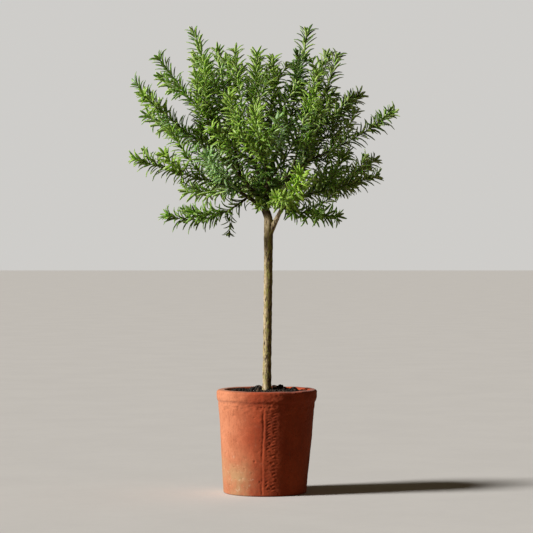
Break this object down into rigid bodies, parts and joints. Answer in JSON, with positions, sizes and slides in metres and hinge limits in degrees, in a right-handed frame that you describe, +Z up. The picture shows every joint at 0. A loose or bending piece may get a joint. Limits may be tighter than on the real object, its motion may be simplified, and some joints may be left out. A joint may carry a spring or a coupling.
{
  "type": "potted rosemary topiary",
  "caption": "Small rosemary standard: open fan-shaped head of needle-leaved shoots on one slim bare trunk, in a tapered terracotta pot with a rolled rim.",
  "frame": {"origin": "middle of the pot's flat underside", "axes": "+Z up along the trunk, +X to the right and -Y towards the viewer as pictured"},
  "size_m": [0.3927, 0.306, 0.7085],
  "materials": {
    "terracotta": "unglazed fired clay, matt",
    "grit": "coarse black crumbs, matt",
    "bark": "beige bark with olive patches",
    "leaf_mid": "satin green needles",
    "leaf_dark": "satin dark green needles",
    "leaf_bright": "satin yellow-green needles",
    "leaf_cool": "satin grey-green needles",
    "leaf_lime": "satin lime-green needles"
  },
  "bodies": {
    "root": {"pot": "terracotta", "soil": "grit", "trunk": "bark", "bough_right_low": "bark", "bough_left_low": "bark", "bough_front": "bark", "bough_back_left": "bark", "bough_back_right": "bark", "bough_left": "bark", "bough_right": "bark", "bough_top_left": "bark", "bough_top_right": "bark", "foliage_left_trailing": "leaf_mid", "foliage_left_low": "leaf_bright", "foliage_left_front_low": "leaf_cool", "foliage_left_middle": "leaf_cool", "foliage_left_back_high": "leaf_dark", "foliage_left_high": "leaf_mid", "foliage_top_back": "leaf_mid", "foliage_top_left_inner": "leaf_bright", "foliage_top_left": "leaf_cool", "foliage_top_middle": "leaf_bright", "foliage_top_right": "leaf_dark", "foliage_top_right_back": "leaf_dark", "foliage_right_high": "leaf_dark", "foliage_right_front_high": "leaf_bright", "foliage_right_middle": "leaf_mid", "foliage_right_back_high": "leaf_dark", "foliage_right_low": "leaf_mid", "foliage_right_back_low": "leaf_mid", "foliage_right_trailing": "leaf_mid", "foliage_front_right": "leaf_lime", "foliage_front_middle": "leaf_bright", "foliage_front_right_high": "leaf_dark", "foliage_front_left_high": "leaf_bright", "foliage_back_right_low": "leaf_mid", "foliage_back_right_middle": "leaf_cool", "foliage_back_low": "leaf_dark", "foliage_back_left_low": "leaf_mid", "foliage_back_left_middle": "leaf_bright", "foliage_back_high": "leaf_mid"}
  },
  "joints": []
}
